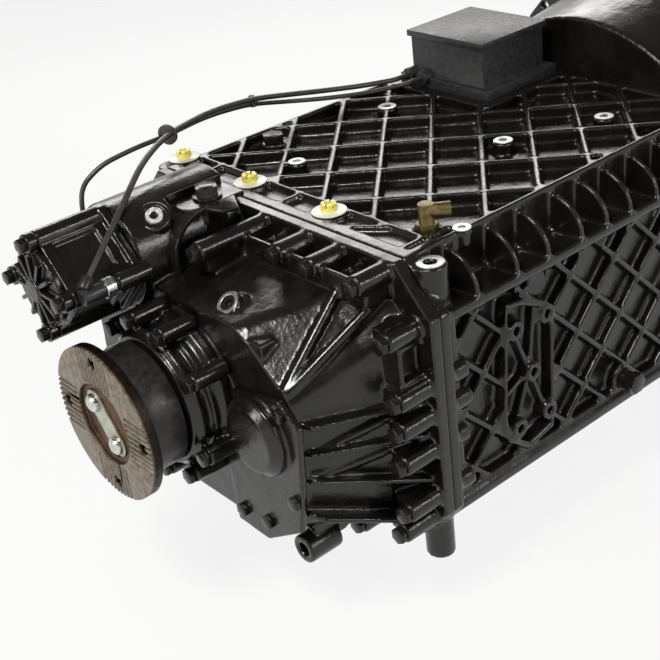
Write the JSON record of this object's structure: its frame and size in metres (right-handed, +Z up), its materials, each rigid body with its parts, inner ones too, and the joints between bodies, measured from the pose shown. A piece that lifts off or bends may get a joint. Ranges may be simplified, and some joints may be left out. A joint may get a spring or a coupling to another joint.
{
  "type": "vehicle transmission",
  "caption": "Heavy vehicle gearbox with ribbed casing, twin countershafts, planetary range group, toothed output flange and open bell housing.",
  "frame": {"origin": "centre of the output flange mating face", "axes": "+X forward to the engine along the shaft, +Y to the vehicle left, +Z up"},
  "size_m": [0.9545, 0.552, 0.5519],
  "materials": {
    "casing": "gloss black paint over the casting",
    "bare_iron": "bare",
    "bare_aluminium": "machined",
    "unit_housing": "satin",
    "plated_bolts": "oiled",
    "painted_bolts": "gloss black paint",
    "seal_rubber": "matte",
    "flange_steel": "machined, lightly rusted",
    "shield_steel": "satin black",
    "zinc_plate": "zinc plated",
    "bright_bolts": "bright",
    "gear_steel": "ground",
    "fork_bronze": "cast bronze",
    "bearing_steel": "polished",
    "cap_plastic": "gloss yellow",
    "brass": "dull",
    "cable_rubber": "matte",
    "sensor_plastic": "matte"
  },
  "bodies": {
    "casing": {"rear_housing": "casing", "main_housing": "casing", "bell_housing": "casing", "output_bearing_cover": "casing", "pto_cover": "casing", "range_cylinder": "casing", "range_cylinder_cover": "casing", "lifting_bracket": "casing", "input_bearing_cover": "bare_iron", "clutch_actuator": "bare_aluminium", "shift_actuator": "unit_housing", "cover_bolts": "plated_bolts", "casing_bolts": "painted_bolts", "oil_seals": "seal_rubber", "ring_gear": "gear_steel", "idler_pins": "gear_steel", "shaft_bearings": "bearing_steel", "output_bearing": "bearing_steel", "transport_caps": "cap_plastic", "elbow_fitting": "brass", "blanking_plugs": "plated_bolts", "cable_ties": "cable_rubber", "sensor_cable": "cable_rubber", "speed_sensor_cable": "cable_rubber", "range_position_switch": "sensor_plastic", "speed_sensor": "sensor_plastic"},
    "output": {"output_flange": "flange_steel", "dust_shield": "shield_steel", "retaining_disc": "flange_steel", "lock_plate": "zinc_plate", "flange_bolts": "bright_bolts", "output_shaft": "gear_steel", "planet_carrier": "bare_iron", "planet_pins": "gear_steel"},
    "planet_1": {"planet_gear_1": "gear_steel"},
    "planet_2": {"planet_gear_2": "gear_steel"},
    "planet_3": {"planet_gear_3": "gear_steel"},
    "main_shaft": {"main_shaft": "gear_steel"},
    "countershaft_left": {"countershaft_left": "gear_steel"},
    "countershaft_right": {"countershaft_right": "gear_steel"},
    "input_gear": {"input_gear": "gear_steel"},
    "third_gear": {"third_gear": "gear_steel"},
    "second_gear": {"second_gear": "gear_steel"},
    "first_gear": {"first_gear": "gear_steel"},
    "reverse_gear": {"reverse_gear": "gear_steel"},
    "reverse_idler_left": {"reverse_idler_left": "gear_steel"},
    "reverse_idler_right": {"reverse_idler_right": "gear_steel"},
    "input_shaft": {"input_shaft": "gear_steel", "splitter_hub": "gear_steel"},
    "low_fork": {"low_fork": "fork_bronze"},
    "high_fork": {"high_fork": "fork_bronze"},
    "splitter_fork": {"splitter_fork": "fork_bronze"},
    "low_sleeve": {"low_sleeve": "gear_steel"},
    "high_sleeve": {"high_sleeve": "gear_steel"},
    "splitter_sleeve": {"splitter_sleeve": "gear_steel"},
    "range_shift": {"range_piston": "bare_aluminium", "range_fork": "fork_bronze", "range_sleeve": "gear_steel"},
    "release_bearing": {"release_bearing": "bearing_steel"}
  },
  "joints": [
    {"name": "output_spin", "type": "hinge", "parent": "casing", "child": "output", "pos_m": [0.06, 0, 0], "axis": [1, 0, 0], "continuous": true},
    {"name": "main_shaft_spin", "type": "hinge", "parent": "casing", "child": "main_shaft", "pos_m": [0.4, 0, 0], "axis": [1, 0, 0], "continuous": true},
    {"name": "planet_1_spin", "type": "hinge", "parent": "output", "child": "planet_1", "pos_m": [0.19, 0.04148, 0.04148], "axis": [1, 0, 0], "continuous": true},
    {"name": "planet_2_spin", "type": "hinge", "parent": "output", "child": "planet_2", "pos_m": [0.19, -0.05667, 0.01518], "axis": [1, 0, 0], "continuous": true},
    {"name": "planet_3_spin", "type": "hinge", "parent": "output", "child": "planet_3", "pos_m": [0.19, 0.01518, -0.05667], "axis": [1, 0, 0], "continuous": true},
    {"name": "countershaft_left_spin", "type": "hinge", "parent": "casing", "child": "countershaft_left", "pos_m": [0.4, 0.1346, -0.01], "axis": [1, 0, 0], "continuous": true},
    {"name": "countershaft_right_spin", "type": "hinge", "parent": "casing", "child": "countershaft_right", "pos_m": [0.4, -0.1346, -0.01], "axis": [1, 0, 0], "continuous": true},
    {"name": "input_gear_spin", "type": "hinge", "parent": "casing", "child": "input_gear", "pos_m": [0.4, 0, 0], "axis": [1, 0, 0], "continuous": true},
    {"name": "third_gear_spin", "type": "hinge", "parent": "casing", "child": "third_gear", "pos_m": [0.4, 0, 0], "axis": [1, 0, 0], "continuous": true},
    {"name": "second_gear_spin", "type": "hinge", "parent": "casing", "child": "second_gear", "pos_m": [0.4, 0, 0], "axis": [1, 0, 0], "continuous": true},
    {"name": "first_gear_spin", "type": "hinge", "parent": "casing", "child": "first_gear", "pos_m": [0.4, 0, 0], "axis": [1, 0, 0], "continuous": true},
    {"name": "reverse_gear_spin", "type": "hinge", "parent": "casing", "child": "reverse_gear", "pos_m": [0.4, 0, 0], "axis": [1, 0, 0], "continuous": true},
    {"name": "reverse_idler_left_spin", "type": "hinge", "parent": "casing", "child": "reverse_idler_left", "pos_m": [0.4, 0.10453, -0.0662], "axis": [1, 0, 0], "continuous": true},
    {"name": "reverse_idler_right_spin", "type": "hinge", "parent": "casing", "child": "reverse_idler_right", "pos_m": [0.4, -0.10453, -0.0662], "axis": [1, 0, 0], "continuous": true},
    {"name": "input_shaft_spin", "type": "hinge", "parent": "casing", "child": "input_shaft", "pos_m": [0.8, 0, 0], "axis": [1, 0, 0], "continuous": true},
    {"name": "low_fork_slide", "type": "slide", "parent": "casing", "child": "low_fork", "axis": [1, 0, 0], "range_m": [-0.011, 0.011]},
    {"name": "low_sleeve_slide", "type": "slide", "parent": "main_shaft", "child": "low_sleeve", "axis": [1, 0, 0], "range_m": [-0.011, 0.011]},
    {"name": "high_fork_slide", "type": "slide", "parent": "casing", "child": "high_fork", "axis": [1, 0, 0], "range_m": [-0.011, 0.011]},
    {"name": "high_sleeve_slide", "type": "slide", "parent": "main_shaft", "child": "high_sleeve", "axis": [1, 0, 0], "range_m": [-0.011, 0.011]},
    {"name": "splitter_fork_slide", "type": "slide", "parent": "casing", "child": "splitter_fork", "axis": [1, 0, 0], "range_m": [-0.011, 0.011]},
    {"name": "splitter_sleeve_slide", "type": "slide", "parent": "input_shaft", "child": "splitter_sleeve", "axis": [1, 0, 0], "range_m": [-0.011, 0.011]},
    {"name": "range_shift_slide", "type": "slide", "parent": "casing", "child": "range_shift", "axis": [1, 0, 0], "range_m": [-0.012, 0]},
    {"name": "release_bearing_slide", "type": "slide", "parent": "casing", "child": "release_bearing", "axis": [1, 0, 0], "range_m": [0, 0.012]}
  ],
  "couplings": [
    {"joint": "main_shaft_spin", "follows": "output_spin", "ratio": 4},
    {"joint": "planet_1_spin", "follows": "output_spin", "ratio": -3},
    {"joint": "planet_2_spin", "follows": "output_spin", "ratio": -3},
    {"joint": "planet_3_spin", "follows": "output_spin", "ratio": -3},
    {"joint": "countershaft_right_spin", "follows": "countershaft_left_spin", "ratio": 1},
    {"joint": "input_gear_spin", "follows": "countershaft_left_spin", "ratio": -1.25},
    {"joint": "third_gear_spin", "follows": "countershaft_left_spin", "ratio": -1},
    {"joint": "second_gear_spin", "follows": "countershaft_left_spin", "ratio": -0.63636},
    {"joint": "first_gear_spin", "follows": "countershaft_left_spin", "ratio": -0.38462},
    {"joint": "reverse_gear_spin", "follows": "countershaft_left_spin", "ratio": 0.33333},
    {"joint": "reverse_idler_left_spin", "follows": "countershaft_left_spin", "ratio": -0.88889},
    {"joint": "reverse_idler_right_spin", "follows": "countershaft_left_spin", "ratio": -0.88889},
    {"joint": "low_sleeve_slide", "follows": "low_fork_slide", "ratio": 1},
    {"joint": "high_sleeve_slide", "follows": "high_fork_slide", "ratio": 1},
    {"joint": "splitter_sleeve_slide", "follows": "splitter_fork_slide", "ratio": 1}
  ]
}
